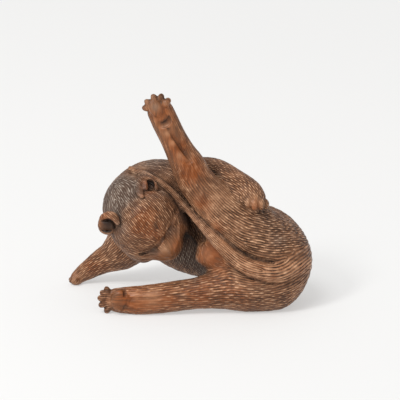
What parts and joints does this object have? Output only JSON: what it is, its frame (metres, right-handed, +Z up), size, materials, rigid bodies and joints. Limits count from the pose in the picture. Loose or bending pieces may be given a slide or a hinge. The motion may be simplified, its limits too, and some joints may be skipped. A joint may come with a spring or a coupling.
{
  "type": "wood carving of a cat",
  "caption": "Small boxwood carving of a cat sitting on its rump with one hind leg raised, its head bent down to lick its belly.",
  "frame": {"origin": "on the surface that the figure rests on, under the middle of its box", "axes": "+Z up, +X from the outstretched feet towards the rump, +Y from the belly towards the back"},
  "size_m": [0.06, 0.0304, 0.0545],
  "materials": {
    "boxwood": "stained reddish brown, hand rubbed, with carved fur"
  },
  "bodies": {
    "root": {"cat_carving": "boxwood"}
  },
  "joints": []
}
